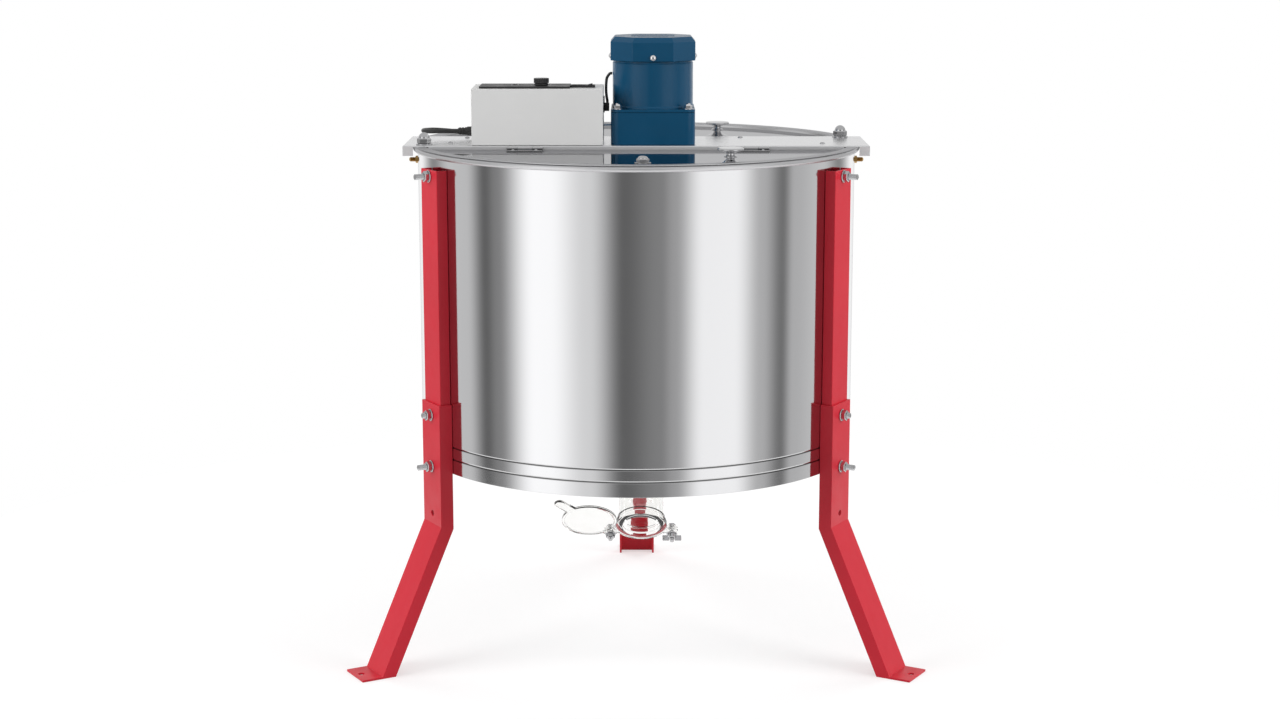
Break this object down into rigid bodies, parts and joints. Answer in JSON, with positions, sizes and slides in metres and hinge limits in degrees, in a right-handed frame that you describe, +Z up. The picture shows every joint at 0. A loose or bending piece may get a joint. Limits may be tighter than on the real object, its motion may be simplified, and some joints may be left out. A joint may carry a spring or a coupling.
{
  "type": "honey extractor",
  "caption": "Round steel honey extractor on bent red legs, with a motor and control box on its top bar, half lids and a swing gate outlet.",
  "frame": {"origin": "centre of the object's footprint at floor level, measured without the cord", "axes": "+Z up; the gate and the control box's front face -Y"},
  "size_m": [0.8094, 0.7678, 0.871],
  "materials": {
    "bright_steel": "polished stainless sheet",
    "steel": "plain stainless",
    "dark_steel": "machined steel",
    "red_paint": "red powder coat",
    "blue_paint": "blue hammer paint",
    "grey_paint": "light grey paint",
    "black_plastic": "black moulded plastic",
    "brass": "plain brass",
    "copper": "wound copper",
    "gate_plastic": "smooth moulded plastic"
  },
  "bodies": {
    "base": {"bar_screw_left": "brass", "bar_screw_right": "brass", "bottom_bridge": "steel", "box_grommet": "black_plastic", "control_box": "grey_paint", "control_panel": "black_plastic", "cord_gland": "black_plastic", "cord_hank": "black_plastic", "cord_tie": "black_plastic", "crossbar": "steel", "drum_bottom": "steel", "drum_shell": "bright_steel", "fan_cover": "blue_paint", "gate_lock_bolt": "steel", "gate_nut": "black_plastic", "gate_pivot_bolt": "steel", "gate_spout": "gate_plastic", "gearbox": "blue_paint", "hinge_front_left": "steel", "hinge_front_right": "steel", "hinge_rear_left": "steel", "hinge_rear_right": "steel", "leg_joint_bolt_left": "steel", "leg_joint_bolt_rear": "steel", "leg_joint_bolt_right": "steel", "leg_top_bolt_left": "steel", "leg_top_bolt_rear": "steel", "leg_top_bolt_right": "steel", "lower_bearing": "dark_steel", "lower_leg_left": "red_paint", "lower_leg_rear": "red_paint", "lower_leg_right": "red_paint", "motor_body": "blue_paint", "motor_lead": "black_plastic", "plug": "black_plastic", "power_cord": "black_plastic", "stator": "copper", "upper_bearing": "dark_steel", "upper_leg_left": "red_paint", "upper_leg_rear": "red_paint", "upper_leg_right": "red_paint"},
    "basket": {"basket_shaft": "steel", "basket_top_ring": "steel", "basket_bottom_ring": "steel", "basket_rod_1": "steel", "basket_rod_2": "steel", "basket_rod_3": "steel", "basket_rod_4": "steel", "output_shaft": "steel", "output_gear": "dark_steel"},
    "motor_rotor": {"rotor": "dark_steel", "fan": "black_plastic"},
    "front_lid": {"lid_front": "bright_steel", "lid_knob_front": "bright_steel"},
    "rear_lid": {"lid_rear": "bright_steel", "lid_knob_rear": "bright_steel"},
    "flap": {"gate_flap": "gate_plastic"},
    "dial": {"speed_knob": "black_plastic"},
    "rocker": {"power_switch": "black_plastic"},
    "button": {"mode_button": "black_plastic"}
  },
  "joints": [
    {"name": "basket_spin", "type": "hinge", "parent": "base", "child": "basket", "pos_m": [0, -0.0671, 0.52], "axis": [0, 0, 1], "continuous": true},
    {"name": "rotor_spin", "type": "hinge", "parent": "base", "child": "motor_rotor", "pos_m": [0.0235, -0.0671, 0.79], "axis": [0, 0, 1], "continuous": true},
    {"name": "front_lid_hinge", "type": "hinge", "parent": "base", "child": "front_lid", "pos_m": [0, -0.1416, 0.719], "axis": [-1, 0, 0], "range_deg": [0, 92]},
    {"name": "rear_lid_hinge", "type": "hinge", "parent": "base", "child": "rear_lid", "pos_m": [0, 0.0074, 0.719], "axis": [1, 0, 0], "range_deg": [0, 92]},
    {"name": "gate_swing", "type": "hinge", "parent": "base", "child": "flap", "pos_m": [-0.037, -0.14862, 0.17026], "axis": [0, 0.7071, 0.7071], "range_deg": [0, 115.7]},
    {"name": "dial_turn", "type": "hinge", "parent": "base", "child": "dial", "pos_m": [-0.133, -0.1021, 0.8041], "axis": [0, 0, -1], "range_deg": [0, 280]},
    {"name": "rocker_tip", "type": "hinge", "parent": "base", "child": "rocker", "pos_m": [-0.075, -0.1021, 0.799], "axis": [0, 1, 0], "range_deg": [0, 16]},
    {"name": "button_press", "type": "slide", "parent": "base", "child": "button", "axis": [0, 0, -1], "range_m": [0, 0.001], "stiffness_N_per_m": 200, "springref_m": -0.002}
  ],
  "couplings": [
    {"joint": "rotor_spin", "follows": "basket_spin", "ratio": -3.7}
  ]
}
